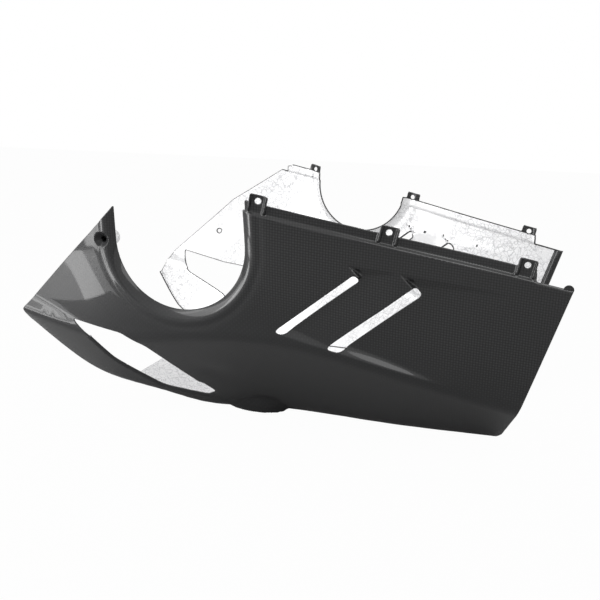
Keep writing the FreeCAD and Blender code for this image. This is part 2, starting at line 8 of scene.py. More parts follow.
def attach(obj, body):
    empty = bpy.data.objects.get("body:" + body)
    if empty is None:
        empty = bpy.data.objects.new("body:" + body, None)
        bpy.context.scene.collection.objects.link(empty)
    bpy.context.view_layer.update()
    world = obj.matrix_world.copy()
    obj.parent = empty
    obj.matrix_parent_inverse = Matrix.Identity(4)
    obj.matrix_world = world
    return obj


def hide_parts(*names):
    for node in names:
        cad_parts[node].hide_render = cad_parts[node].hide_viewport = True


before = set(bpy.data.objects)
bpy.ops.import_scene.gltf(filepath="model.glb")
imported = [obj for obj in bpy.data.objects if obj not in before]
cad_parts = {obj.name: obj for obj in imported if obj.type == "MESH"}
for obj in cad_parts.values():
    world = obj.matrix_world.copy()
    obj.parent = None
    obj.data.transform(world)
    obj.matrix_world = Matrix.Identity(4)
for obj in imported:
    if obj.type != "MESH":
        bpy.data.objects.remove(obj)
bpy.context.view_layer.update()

# Shapes are worked out in millimetres, in the frame of the CAD, and put into the meshes in metres.
# X runs to the tail, Y to the right-hand side, Z up; side is -1 on the left flank, 1 on the right.
MM = 0.001
WALL, EDGE_ROUND = 2.0, 1.0
FOIL_GAP, FOIL_THICK, FOIL_ROUND = 0.1, 0.4, 0.1
# Distance given to places that an edge doesn't reach
FAR = 400

# Sections of the hull: place along X, height and half width of the floor, height and half width of
# the ridge, rise and step of the ledge above the ridge, half width at the top, bilge radius.
STATIONS = np.array([
    (-446, 118, 180, 132, 198, 22, -7, 206, 7),
    (-393, 60, 150, 121, 199, 13, -5, 213, 12),
    (-340, 35, 141, 110, 201, 10, 1, 221, 18),
    (-288, 18, 121, 111, 206, 10, 2, 229, 25),
    (-235, 2.5, 104, 119, 210, 10, 2, 234, 30),
    (-175, -0.3, 86, 126, 210, 11, 2, 232, 32),
    (-115, -0.3, 79, 126, 205, 12, 2, 223, 32),
    (0, -0.3, 83, 101, 183, 12, 3, 190, 32),
    (100, -0.3, 78, 71, 152, 12, 3, 164, 32),
    (206, -0.3, 68, 42, 124, 12, 4, 150, 30)])
SECTION_TOP = 316
CROWN = 6
RIDGE_ROUND = 9.0

# Top edge: a straight line that drops to the tail, with the joggled band below it
TOP_HEIGHT, TOP_SLOPE = 254.2, 0.204
BAND_HEIGHT, BAND_REAR, BAND_FRONT = 11.5, 160, {-1: -143, 1: -239}
JOGGLE, JOGGLE_RUN, JOGGLE_AHEAD, JOGGLE_PAST = 3.0, 3.2, 12, 3

# Front edge of each flank, from the nose tip up, and the rear edge from the sole up
FRONT_EDGE = {-1: ((-441, 131), (-424, 150), (-325, 239), (-297, 267)),
              1: ((-441, 131), (-424, 150), (-330, 240), (-249, 293))}
FRONT_CROWN = {-1: 267.5, 1: 299}
REAR_EDGE = ((131, 0), (139, 10), (156, 62), (197, 202.5))

# Round cut-outs: centre, radius, flare of the front and rear sides over the height above the
# centre, and how softly the flare begins
CUTS = {-1: dict(x=-220, z=231.5, radius=78.5, front=4, rear=-7),
        1: dict(x=-108, z=275, radius=71, front=0, rear=4)}
CUT_TOP, CUT_BEND = 120, 24
# The lip of a cut-out, with the shallow groove round it: depth, distance beyond the lip, width
LIP_ZONE, LIP_RADIUS = 19.0, 15.9
MOAT = dict(depth=0.8, away=3, width=4.5)
# Outlets and slots stay outside this half width
FLOOR_HALF = 60

# Corners of the outlets with their radii, the line below which their rims turn in, and the zone and
# radius of that turn and of the one at the rear of the top edge
OUTLET = {-1: ((-369, 126), (-300, 117), (-274, 102), (-214, 28), (-226, 22), (-282, 31),
               (-330, 73), (-350, 106)),
          1: ((-406, 151), (-340, 134), (-296, 128), (-214, 28), (-226, 22), (-282, 31),
              (-326, 83), (-404, 118))}
OUTLET_ROUND = (1.5, 30, 30, 4, 4, 30, 30, 20)
OUTLET_LOW = ((-386, 120), (-214, 40))
OUTLET_TURN, REAR_TURN = (4.5, 3.4), (3.2, 2.6)
# Half width of the notch in the floor, from the nose back
NOTCH = ((-460, 178), (-400, 150), (-352, 141), (-333, 118))

# Louvres: low end, length and width of each slanted slot, the run and rise of the line that cuts
# its low end, and how softly it does
SLOT_ANGLE = math.radians(39.2)
SLOTS = (dict(x=-106, z=137, length=108, width=9.5), dict(x=-47, z=121, length=115, width=13))
SLOT_FOOT, SLOT_ROUND = (59, -16), 8.0
# The stepped panel behind each slot: a plane through the slot's low end, with its half width there,
# its yaw and its lean, then the lines of the curb, the ridge and the foot that bound it. The walls
# rise with these slopes from the slot and the lines, their corners have these radii, and the
# panel's depth fades out over a run behind the slot.
PANELS = (dict(half=199.8, yaw=5.4, lean=0.5, curb=((-19, 204), (-33, 220)),
               ridge=((-33, 220), (19, 212)), foot=((-106, 137), (-47, 121))),
          dict(half=189.3, yaw=11.9, lean=3.0, curb=((42, 188), (20, 212)),
               ridge=((20, 212), (138, 193)), foot=((-47, 121), (75, 86))))
PANEL_SLOPE = dict(slot=3, curb=1.6, ridge=0.8, foot=0.9)
PANEL_ROUND = dict(ridge=1.0, foot=2.0, plane=2.2, rim=2.4)
PANEL_FADE, PANEL_FADE_RUN = 110, 85

# Tabs on the top edge, the places of their holes along x, and the ribs beside them
TAB_WIDTH, TAB_RISE, TAB_LIFT, BORE = 20, 6.5, 2.6, 3.25
RIB_WIDTH, RIB_RISE, RIB_FOOT, RIB_FADE, RIB_PROUD = 2.6, 9.5, 14.5, 4, 0.2
TABS = {-1: (-126, 8, 149), 1: (-190, -25, 149)}
BEAD_RADIUS, BEAD_INSET = 5.5, 4.5
CUP = dict(x=-313, z=229, radius=9, depth=6)
EYE = dict(x=-351, z=186)
BULGE_CENTRE, BULGE_RADII = np.array((-170, -82, 14.0)), np.array((40, 22, 30.0))
BULGE_REACH, BULGE_ROUND = 30, 9.0
DENT = dict(x=-205, z=68, long=20, tall=12, depth=1.3)


# Small helpers on arrays

def smooth(t):
    """Rises from 0 to 1 as t goes from 0 to 1, flat at both ends: 3 t squared less 2 t cubed."""
    t = np.clip(t, 0, 1)
    return t * t * (3 - 2 * t)


def soft_min(a, b, radius):
    """Smaller of a and b, with the corner rounded over the radius."""
    gap = np.clip(0.5 + 0.5 * (b - a) / radius, 0, 1)
    return b * (1 - gap) + a * gap - radius * gap * (1 - gap)


def soft_max(a, b, radius):
    """Larger of a and b, with the corner rounded over the radius."""
    return -soft_min(-a, -b, radius)


def above_zero(value, radius):
    """The value where it is positive and 0 elsewhere, with the bend rounded over the radius."""
    return soft_max(value, 0 * value, radius) - radius / 4


def beside(x, z, ends):
    """Signed distance to the right of the line that runs from the first end to the second."""
    (x0, z0), (x1, z1) = ends
    length = math.hypot(x1 - x0, z1 - z0)
    return ((x - x0) * (z1 - z0) - (z - z0) * (x1 - x0)) / length


def polyline(points, x):
    """Height at x of the line through the points."""
    across, up = zip(*points)
    return np.interp(x, across, up)


def rounded(corners, radii, steps=6):
    """Outline with each corner replaced by an arc that touches its two sides."""
    corners = np.array(corners, float)
    points = []
    for i, corner in enumerate(corners):
        back, ahead = corners[i - 1] - corner, corners[(i + 1) % len(corners)] - corner
        a, b = np.linalg.norm(back), np.linalg.norm(ahead)
        back, ahead = back / a, ahead / b
        half = math.acos(np.clip(back @ ahead, -1, 1)) / 2
        reach = min(radii[i] / math.tan(half), 0.45 * a, 0.45 * b)
        start, end = corner + back * reach, corner + ahead * reach
        for t in np.linspace(0, 1, steps):
            points.append((1 - t) ** 2 * start + 2 * t * (1 - t) * corner + t ** 2 * end)
    return np.array(points)


def outline_distance(x, z, points, reach=12, beyond=60.0):
    """Distance to a closed outline, negative within it, and one value beyond its reach."""
    (low_x, low_z), (high_x, high_z) = points.min(0) - reach, points.max(0) + reach
    close = (x > low_x) & (x < high_x) & (z > low_z) & (z < high_z)
    found = np.full(np.shape(x), beyond)
    x, z = x[close], z[close]
    best = np.full(np.shape(x), beyond)
    inside = np.zeros(np.shape(x), bool)
    for (x0, z0), (x1, z1) in zip(points, np.roll(points, -1, axis=0)):
        dx, dz = x1 - x0, z1 - z0
        t = np.clip(((x - x0) * dx + (z - z0) * dz) / (dx * dx + dz * dz + 1e-9), 0, 1)
        best = np.minimum(best, np.hypot(x - x0 - t * dx, z - z0 - t * dz))
        crosses = (z0 > z) != (z1 > z)
        inside ^= crosses & (x < x0 + (z - z0) / (dz if dz else 1e-9) * dx)
    found[close] = np.where(inside, -best, best)
    return found


# The hull: its stations joined by natural cubics, its sections by lines and arcs

def cubic(knots, values):
    """Natural cubic through the knots: the second derivatives solve a three-banded system."""
    count, step = len(knots), np.diff(knots)
    system, right = np.eye(count), np.zeros_like(values)
    slopes = np.diff(values, axis=0) / step[:, None]
    for i in range(1, count - 1):
        system[i, i - 1:i + 2] = step[i - 1], 2 * (step[i - 1] + step[i]), step[i]
        right[i] = 6 * (slopes[i] - slopes[i - 1])
    bend = np.linalg.solve(system, right)

    def at(x):
        """Values at each x."""
        i = np.clip(np.searchsorted(knots, x) - 1, 0, count - 2)
        width = step[i]
        a = ((knots[i + 1] - x) / width)[:, None]
        b = 1 - a
        lift = ((a ** 3 - a) * bend[i] + (b ** 3 - b) * bend[i + 1]) * (width ** 2 / 6)[:, None]
        return a * values[i] + b * values[i + 1] + lift
    return at


station_at = cubic(STATIONS[:, 0], STATIONS[:, 1:])


def section_lengths(x):
    """Sizes of the sections at x, with the slope of the slanted side and the run of the bilge."""
    floor_z, floor, ridge_z, ridge, rise, step, top, bilge = station_at(x).T
    span = np.hypot(ridge - floor, ridge_z - floor_z)
    cos, sin = (ridge - floor) / span, (ridge_z - floor_z) / span
    bilge = np.maximum(bilge, 1)
    reach = bilge * (1 - cos) / sin
    turn = np.arccos(np.clip(cos, -1, 1))
    return dict(floor_z=floor_z, floor=floor, ridge_z=ridge_z, ridge=ridge, rise=rise, step=step,
                top=top, bilge=bilge, cos=cos, sin=sin, reach=reach, turn=turn,
                ledge=np.hypot(rise, step), slant=span - reach,
                lower=span - reach + bilge * turn + floor - reach)


def hull_point(x, run):
    """Half width and height of the hull at x, a run along its section from the ridge.

    Above the ridge come the ledge and the flank, which bows out by the crown as a parabola; below
    it come the slanted side, the bilge as an arc, and the flat floor. Both corners of the ledge
    are rounded.
    """
    s = section_lengths(x)
    below = soft_max(-run, 0 * run, RIDGE_ROUND)
    flank = soft_max(run - s["ledge"], 0 * run, RIDGE_ROUND)
    up = (run + below - flank) / s["ledge"]
    half = s["ridge"] + s["step"] * up
    z = s["ridge_z"] + s["rise"] * up
    height = SECTION_TOP - s["ridge_z"] - s["rise"]
    part = flank / height
    half = half + (s["top"] - s["ridge"] - s["step"]) * part + 4 * CROWN * part * (1 - part)
    z = z + flank
    down = np.minimum(below, s["slant"])
    half, z = half - s["cos"] * down, z - s["sin"] * down
    arc = np.clip(-run - s["slant"], 0, s["bilge"] * s["turn"]) / s["bilge"]
    angle = s["turn"] - arc
    half = half - s["bilge"] * (np.sin(s["turn"]) - np.sin(angle))
    z = z - s["bilge"] * (np.cos(angle) - np.cos(s["turn"]))
    half = half - np.maximum(-run - s["slant"] - s["bilge"] * s["turn"], 0)
    return half, z


def top_line(x):
    """Height of the top edge at x."""
    return TOP_HEIGHT - TOP_SLOPE * x


# Places on the flank, seen from the side

def cut_distance(x, z, side):
    """Distance from the rim of the cut-out: round below its centre, straight and flared above."""
    cut = CUTS[side]
    dx, dz = x - cut["x"], z - cut["z"]
    flare = np.where(dx < 0, cut["front"], cut["rear"]) * soft_max(dz, 0 * dz, CUT_BEND) / CUT_TOP
    return np.hypot(dx, np.minimum(dz, 0)) - cut["radius"] - flare


def slot_frame(x, z, slot):
    """Distance along the slot from its low end, and behind its centre line."""
    dx, dz = x - slot["x"], z - slot["z"]
    cos, sin = math.cos(SLOT_ANGLE), math.sin(SLOT_ANGLE)
    return dx * cos + dz * sin, dx * sin - dz * cos


def slot_distance(x, z, slot):
    """Distance from a slanted slot: rounded above, and cut along the foot of its panel below."""
    along, across = slot_frame(x, z, slot)
    half = slot["width"] / 2
    round_off = 0.8 * half
    end = np.hypot(np.maximum(along - slot["length"] + round_off, 0),
                   np.maximum(np.abs(across) - half + round_off, 0)) - round_off
    end = np.maximum(end, np.abs(across) - half)
    low_end = slot["x"], slot["z"]
    foot = beside(x, z, (low_end, (low_end[0] + SLOT_FOOT[0], low_end[1] + SLOT_FOOT[1])))
    return soft_max(end, foot, SLOT_ROUND)


def tab_frame(x, z, tab_x):
    """Distances from the middle of a tab's hole, along the top edge and square to it."""
    lean = math.atan(TOP_SLOPE)
    dx, dz = x - tab_x, z - top_line(tab_x) - TAB_LIFT
    return dx * math.cos(lean) - dz * math.sin(lean), dx * math.sin(lean) + dz * math.cos(lean)


def tab_inside(x, z, side):
    """Distance inside the nearest tab: a plate between two ribs that stand higher."""
    best = np.full(np.shape(x), -1e9)
    for tab_x in TABS[side]:
        along, up = tab_frame(x, z, tab_x)
        reach = np.abs(along)
        rib = np.minimum(reach - TAB_WIDTH / 2 + RIB_WIDTH, RIB_RISE - up)
        upper = soft_max(TAB_RISE - up, rib, 1.2)
        best = np.maximum(best, soft_min(TAB_WIDTH / 2 - reach, upper, 1.6))
    return best


# Depth of the moulded forms below the plain hull

def turned(distance, zone, radius):
    """Sheet bent round an edge as an arc: how far the bend pulls it back, and how deep it goes."""
    angle = np.clip((zone - distance) / radius, 0, 1.5)
    return radius * (angle - np.sin(angle)), radius * (1 - np.cos(angle))


# How far the whole lip pulls its rim back
LIP_BACK = float(turned(np.array(0.0), LIP_ZONE, LIP_RADIUS)[0])


def louvre_depth(x, z, half):
    """Each panel is a plane behind its slot, bounded by a curb, a sloping ridge and a foot."""
    depth = np.zeros_like(x)
    for slot, panel in zip(SLOTS, PANELS):
        yaw, lean = math.radians(panel["yaw"]), math.radians(panel["lean"])
        plane = (panel["half"] - (x - slot["x"]) * math.tan(yaw)
                 + (z - slot["z"]) * math.tan(lean) / math.cos(yaw))
        behind = slot_frame(x, z, slot)[1]
        curb = np.maximum(PANEL_SLOPE["slot"] * behind,
                          PANEL_SLOPE["curb"] * beside(x, z, panel["curb"]))
        ridge = PANEL_SLOPE["ridge"] * beside(x, z, panel["ridge"])
        foot = -PANEL_SLOPE["foot"] * beside(x, z, panel["foot"])
        walls = soft_min(soft_min(curb, ridge, PANEL_ROUND["ridge"]), foot, PANEL_ROUND["foot"])
        fade = 1 - smooth((x - slot["x"] - PANEL_FADE) / PANEL_FADE_RUN)
        here = soft_min((half - plane) * fade, walls, PANEL_ROUND["plane"])
        depth = np.maximum(depth, above_zero(here, PANEL_ROUND["rim"]))
    return np.maximum(depth, 0)


def bulge_lift(base, normal):
    """How far the surface moves out along its normal to reach an ellipsoid on the left bilge.

    Where the normal misses the ellipsoid the lift falls off by how much it misses, so that the
    join can be rounded.
    """
    start = (base - BULGE_CENTRE) / BULGE_RADII
    way = normal / BULGE_RADII
    a, b = (way * way).sum(1), (start * way).sum(1)
    c = (start * start).sum(1) - 1
    under = b * b - a * c
    lift = (-b + np.sqrt(np.maximum(under, 0)) - 2 * np.sqrt(np.maximum(-under, 0))) / a
    near = (np.abs(base - BULGE_CENTRE) < BULGE_RADII + 25).all(1)
    lift = np.where(near, np.clip(lift, -BULGE_REACH, BULGE_REACH), -BULGE_REACH)
    return soft_max(lift, 0 * lift, BULGE_ROUND)


def hull_place(x, run, side):
    """Points of the plain hull."""
    half, z = hull_point(x, run)
    return np.stack([x, side * half, z], 1)


def surface_normal(place, x, run, side, step):
    """Outward normal of place(x, run, side), from neighbours a step away in x and in run."""
    ahead, back = place(x + step, run, side), place(x - step, run, side)
    above, below = place(x, run + step, side), place(x, run - step, side)
    normal = np.cross(ahead - back, above - below) * np.where(side > 0, -1, 1)[:, None]
    return normal / np.maximum(np.linalg.norm(normal, axis=1), 1e-9)[:, None]


def skin_place(x, run, side, ribs=True):
    """Outer skin: the hull, with its joggle, lips, louvre panels, cup, dent, ribs and bulge.

    x is in the hull's side view and run is measured along its section, so that both stay even
    where the sheet turns in.
    """
    base = hull_place(x, run, side)
    normal = surface_normal(hull_place, x, run, side, 1.5)
    z, half = base[:, 2], np.abs(base[:, 1])
    flank = run > 0
    shift = np.zeros_like(base)
    front = np.where(side < 0, BAND_FRONT[-1], BAND_FRONT[1])
    depth = JOGGLE * smooth((z - top_line(x) + BAND_HEIGHT + JOGGLE_RUN / 2) / JOGGLE_RUN)
    depth = depth * (x < BAND_REAR + JOGGLE_PAST) * (x > front - JOGGLE_AHEAD)
    for way in (-1, 1):
        here = (side == way) & flank
        if not here.any():
            continue
        cut = CUTS[way]
        distance = cut_distance(x, z, way) + LIP_BACK
        back, deep = turned(distance, LIP_ZONE, LIP_RADIUS)
        dx, dz = x - cut["x"], np.minimum(z - cut["z"], 0)
        size = np.maximum(np.hypot(dx, dz), 1e-6)
        shift[here, 0] += (back * dx / size)[here]
        shift[here, 2] += (back * dz / size)[here]
        moat = MOAT["depth"] * np.exp(-((distance - LIP_ZONE - MOAT["away"]) / MOAT["width"]) ** 2)
        depth = depth + np.where(here, deep + moat, 0)
    depth = depth + np.where(flank, louvre_depth(x, z, half) * np.abs(normal[:, 1]), 0)
    cup = np.hypot(x - CUP["x"], z - CUP["z"])
    slope = CUP["depth"] / (CUP["radius"] - BORE)
    dish = np.clip((CUP["radius"] - cup) * slope, 0, CUP["depth"] + 1)
    depth = depth + np.where((side < 0) & flank, above_zero(dish, 0.6), 0)
    dent = DENT["depth"] * np.exp(-((x - DENT["x"]) / DENT["long"]) ** 2
                                  - ((z - DENT["z"]) / DENT["tall"]) ** 2)
    depth = depth + dent
    low_side = z < polyline(OUTLET_LOW, x)
    for way in (-1, 1):
        deep = turned(outline_distance(x, z, OUTLET_LINE[way]), *OUTLET_TURN)[1]
        depth = depth + np.where(low_side & (run < 40) & (side == way), deep, 0)
    rear_lip = top_line(x) - BAND_HEIGHT - z
    depth = depth + turned(rear_lip, *REAR_TURN)[1] * smooth((x - BAND_REAR + 6) / 8)
    if ribs:
        for way in (-1, 1):
            for tab_x in TABS[way]:
                along, up = tab_frame(x, z, tab_x)
                across = np.abs(np.abs(along) - TAB_WIDTH / 2 + RIB_WIDTH / 2)
                rib = smooth(1.55 - across / RIB_WIDTH * 1.6) * smooth((up + RIB_FOOT) / RIB_FADE)
                depth = depth - np.where((side == way), (JOGGLE + RIB_PROUD) * rib, 0)
    lift = np.where(side < 0, bulge_lift(base, normal), 0)
    place = base + shift + normal * (lift - depth)[:, None]
    place[:, 2] = np.maximum(place[:, 2], 0)
    return place


OUTLET_LINE = {way: rounded(corners, OUTLET_ROUND) for way, corners in OUTLET.items()}


def skin_normal(x, run, side, ribs=True):
    """Outward normal of the outer skin."""
    return surface_normal(lambda *place: skin_place(*place, ribs), x, run, side, 0.8)


# Sheets: triangles in two parameters, refined where the form needs it and clipped at its edges.
# The first parameter is x; the second, level, is 0 on the centre line, 1 at the ridge and 2 above
# the tabs, and its sign is the side.
ABOVE_TOP = 14


def unfold(points):
    """x, run along the section, and side of points given as x and level."""
    x, level = points.T
    s = section_lengths(x)
    upper = s["ledge"] + top_line(x) + ABOVE_TOP - s["ridge_z"] - s["rise"]
    size = np.abs(level)
    run = np.where(size < 1, -s["lower"] * (1 - size), (size - 1) * upper)
    return x, run, np.where(level < 0, -1, 1)


def edge_list(triangles):
    """The sorted ends of every edge once, and the number of the edge on each triangle side."""
    a, b = triangles.ravel(), np.roll(triangles, -1, axis=1).ravel()
    count = triangles.max() + 1
    keys, number = np.unique(np.minimum(a, b) * count + np.maximum(a, b), return_inverse=True)
    return np.stack([keys // count, keys % count], 1), number.reshape(-1, 3)


def refine(points, triangles, target, rounds=9):
    """Halves every edge longer than the target, always with the longest edge of its triangle."""
    place = skin_place(*unfold(points))
    for _ in range(rounds):
        edges, number = edge_list(triangles)
        length = np.linalg.norm(place[edges[:, 0]] - place[edges[:, 1]], axis=1)
        middle = points[edges].mean(1)
        marked = length > target(*unfold(middle))
        if not marked.any():
            break
        longest = length[number].argmax(1)
        rows = np.arange(len(triangles))
        while True:
            wanted = number[rows, longest][marked[number].any(1)]
            if marked[wanted].all():
                break
            marked[wanted] = True
        order = (longest[:, None] + np.arange(3)) % 3
        triangles = triangles[rows[:, None], order]
        number = number[rows[:, None], order]
        fresh = np.full(len(edges), -1)
        fresh[marked] = len(points) + np.arange(marked.sum())
        points = np.concatenate([points, middle[marked]])
        place = np.concatenate([place, skin_place(*unfold(middle[marked]))])
        a, b, c = triangles.T
        m, n, p = fresh[number].T
        kept = m < 0
        one = ~kept & (n < 0) & (p < 0)
        near = ~kept & (n >= 0) & (p < 0)
        far = ~kept & (n < 0) & (p >= 0)
        both = ~kept & (n >= 0) & (p >= 0)
        parts = [(kept, (a, b, c)), (one, (a, m, c)), (one, (m, b, c)),
                 (near, (a, m, c)), (near, (m, b, n)), (near, (m, n, c)),
                 (far, (m, b, c)), (far, (a, m, p)), (far, (p, m, c)),
                 (both, (a, m, p)), (both, (m, b, n)), (both, (p, n, c)), (both, (m, n, p))]
        triangles = np.concatenate([np.stack([v[mask] for v in ends], 1) for mask, ends in parts])
    return points, triangles


def clip(points, triangles, keep, snap=0.06):
    """Keeps the part of the sheet where the function is positive; cut edges meet its zero line."""
    value = keep(*unfold(points))
    value = np.where(np.abs(value) < snap, 0.0, value)
    inside = value >= 0
    count = inside[triangles].sum(1)
    whole = triangles[count == 3]
    mixed = triangles[(count > 0) & (count < 3)]
    first = ((inside[mixed].sum(1) == 1)[:, None] == inside[mixed]).argmax(1)
    mixed = mixed[np.arange(len(mixed))[:, None], (first[:, None] + np.arange(3)) % 3]
    ends = np.sort(np.concatenate([mixed[:, [0, 1]], mixed[:, [0, 2]]]), axis=1)
    keys, number = np.unique(ends[:, 0] * len(points) + ends[:, 1], return_inverse=True)
    edges = np.stack([keys // len(points), keys % len(points)], 1)
    va, vb = value[edges[:, 0]], value[edges[:, 1]]
    t = (va / np.where(va == vb, 1, va - vb))[:, None]
    crossing = points[edges[:, 0]] * (1 - t) + points[edges[:, 1]] * t
    p = len(points) + number[:len(mixed)]
    q = len(points) + number[len(mixed):]
    points = np.concatenate([points, crossing])
    alone = inside[mixed[:, 0]]
    a, b, c = mixed.T
    parts = [whole, np.stack([a, p, q], 1)[alone], np.stack([p, b, c], 1)[~alone],
             np.stack([p, c, q], 1)[~alone]]
    triangles = np.concatenate(parts)
    used, number = np.unique(triangles, return_inverse=True)
    return points[used], number.reshape(-1, 3)


def tidy_triangles(points, triangles):
    """Drops triangles with no area, which a clip through a corner leaves."""
    place = skin_place(*unfold(points))
    a, b, c = (place[triangles[:, i]] for i in range(3))
    area = np.linalg.norm(np.cross(b - a, c - a), axis=1)
    return points, triangles[area > 1e-7]


def start_grid(columns, low_rows, high_rows, front=-446.0, rear=199.0):
    """Coarse grid over the whole hull, both sides, split into triangles."""
    x = np.linspace(front, rear, columns + 1)
    half = np.concatenate([np.linspace(0, 1, low_rows + 1), np.linspace(1, 2, high_rows + 1)[1:]])
    level = np.concatenate([-half[:0:-1], half])
    points = np.stack(np.meshgrid(x, level, indexing="ij"), 2).reshape(-1, 2)
    i, j = np.meshgrid(np.arange(columns), np.arange(len(level) - 1), indexing="ij")
    a = (i * len(level) + j).ravel()
    b, c, d = a + len(level), a + len(level) + 1, a + 1
    return points, np.concatenate([np.stack([a, c, b], 1), np.stack([a, d, c], 1)])


# Edges of the shell. Each is a distance that is positive on the material, and all take the same
# values: x, height, half width, run along the section, and the side. A factor just below 1 turns
# a distance along an axis into one square to a slanted edge.

def per_side(work):
    """Works out an edge for each side and puts the two results together."""
    def both(x, run, side):
        half, z = hull_point(x, run)
        return np.where(side < 0, work(x, z, half, run, -1), work(x, z, half, run, 1))
    return both


def front_edge(x, z, half, run, way):
    (x0, z0), (x1, z1) = FRONT_EDGE[way][-2:]
    slope = (z1 - z0) / (x1 - x0)
    line = np.where(x > x1, z1 + slope * (x - x1), polyline(FRONT_EDGE[way], x))
    return soft_min(0.72 * (line - z), FRONT_CROWN[way] - z + FAR * (x > -230), 2.0)


def nose_tip(x, z, half, run, way):
    (tip_x, tip_z) = FRONT_EDGE[way][0]
    return x - tip_x + 20 * (tip_z - z) / tip_z


def top_edge(x, z, half, run, way):
    band = np.minimum(top_line(x) - z, soft_min(x - BAND_FRONT[way], BAND_REAR - x, 0.5))
    tabs = tab_inside(x, z, way)
    return np.maximum(soft_max(band, tabs, 2.5), top_line(x) - BAND_HEIGHT - z)


def band_edge(x, z, half, run, way):
    """The top edge without the tabs, which the foil leaves bare."""
    band = np.minimum(top_line(x) - z, np.minimum(x - BAND_FRONT[way], BAND_REAR - x))
    return np.maximum(band, top_line(x) - BAND_HEIGHT - z)


def rear_edge(x, z, half, run, way):
    up, across = zip(*[(b, a) for a, b in REAR_EDGE])
    return 0.96 * (np.interp(z, up, across) - x)


def notch(x, z, half, run, way):
    return np.maximum(0.9 * (half - polyline(NOTCH, x)), x - NOTCH[-1][0])


def outlet(x, z, half, run, way):
    return outline_distance(x, z, OUTLET_LINE[way]) + FAR * (half < FLOOR_HALF)


def cut_out(x, z, half, run, way):
    return np.where(run > 0, cut_distance(x, z, way) + LIP_BACK, FAR)


def slots(x, z, half, run, way):
    nearest = np.minimum(slot_distance(x, z, SLOTS[0]), slot_distance(x, z, SLOTS[1]))
    return nearest + FAR * (half < FLOOR_HALF)


def holes(x, z, half, run, way):
    distance = np.full(np.shape(x), float(FAR))
    for tab_x in TABS[way]:
        distance = np.minimum(distance, np.hypot(*tab_frame(x, z, tab_x)) - BORE)
    spot = CUP if way < 0 else EYE
    return np.minimum(distance, np.hypot(x - spot["x"], z - spot["z"]) - BORE)


SHELL_EDGES = (front_edge, nose_tip, cut_out, top_edge, rear_edge, notch, outlet, slots, holes)


# Longest edges wanted on the shell, in millimetres, all times the same factor: plain places, lips,
# tabs, edges, the joggle, the lines of the louvre panels, the cup and the bulge
MESH = dict(plain=9.0, lip=2.0, tab=1.6, edge=2.0, joggle=2.2, louvre=2.0, cup=1.1, bulge=3.0)
MESH_FACTOR = 1.3


def edge_nearness(x, z, half, run, side):
    """Distance to the nearest edge of the shell."""
    near = np.full_like(x, 1e3)
    for way in (-1, 1):
        for edge in SHELL_EDGES:
            near = np.where(side == way, np.minimum(near, np.abs(edge(x, z, half, run, way))), near)
    return near


def shell_target(x, run, side):
    """Longest edge wanted at each place of the shell."""
    half, z = hull_point(x, run)
    flank = run > 0
    size = np.full_like(x, MESH["plain"])
    for way in (-1, 1):
        here = (side == way) & flank
        lip = cut_distance(x, z, way) + LIP_BACK
        size = np.where(here & (lip > -3) & (lip < LIP_ZONE + 6), MESH["lip"], size)
        tabs = (tab_inside(x, z, way) > -3) & (z > top_line(x) - BAND_HEIGHT - 4)
        size = np.where((side == way) & tabs, np.minimum(size, MESH["tab"]), size)
    near = edge_nearness(x, z, half, run, side)
    size = np.minimum(size, MESH["edge"] + np.maximum(near - 2, 0) * 0.8)
    step = np.abs(z - top_line(x) + BAND_HEIGHT)
    size = np.where((step < 2.5) & flank, np.minimum(size, MESH["joggle"]), size)
    for panel in PANELS:
        for line, reach in ((panel["ridge"], 17), (panel["curb"], 10), (panel["foot"], 8)):
            (x0, _), (x1, _) = line
            beside_it = (x > min(x0, x1) - 10) & (x < max(x0, x1) + 6)
            away = np.abs(beside(x, z, line))
            size = np.where(beside_it & (away < reach) & flank,
                            np.minimum(size, MESH["louvre"] + away * 0.2), size)
    cup = np.hypot(x - CUP["x"], z - CUP["z"])
    size = np.where((side < 0) & (cup < CUP["radius"] + 2), np.minimum(size, MESH["cup"]), size)
    away = np.maximum(np.hypot((x - BULGE_CENTRE[0]) / 52, (half + BULGE_CENTRE[1]) / 40), z / 46)
    bulge = (side < 0) & (away < 1)
    return MESH_FACTOR * np.where(bulge, np.minimum(size, MESH["bulge"]), size)


def rim_out(place, normal, triangles):
    """Boundary edges of a sheet, and the direction out of it at each boundary vertex."""
    edges, number = edge_list(triangles)
    uses = np.bincount(number.ravel(), minlength=len(edges))
    row, corner = np.nonzero(uses[number] == 1)
    a, b = triangles[row, corner], triangles[row, (corner + 1) % 3]
    along = place[b] - place[a]
    out = np.cross(along, normal[a] + normal[b])
    sums = np.zeros_like(place)
    np.add.at(sums, a, out)
    np.add.at(sums, b, out)
    size = np.linalg.norm(sums, axis=1)
    return a, b, sums / np.maximum(size, 1e-9)[:, None]


def add_object(name, data):
    """Object with the mesh, lamp or camera, linked to the scene."""
    piece = bpy.data.objects.new(name, data)
    bpy.context.scene.collection.objects.link(piece)
    return piece


def add_uv(mesh, uv):
    """Puts one UV for each vertex on the face corners, and gives the vertex of each corner."""
    corners = np.zeros(len(mesh.loops), np.int32)
    mesh.loops.foreach_get("vertex_index", corners)
    layer = mesh.uv_layers.new(name="UVMap")
    layer.data.foreach_set("uv", uv[corners].astype(np.float32).ravel())
    return corners


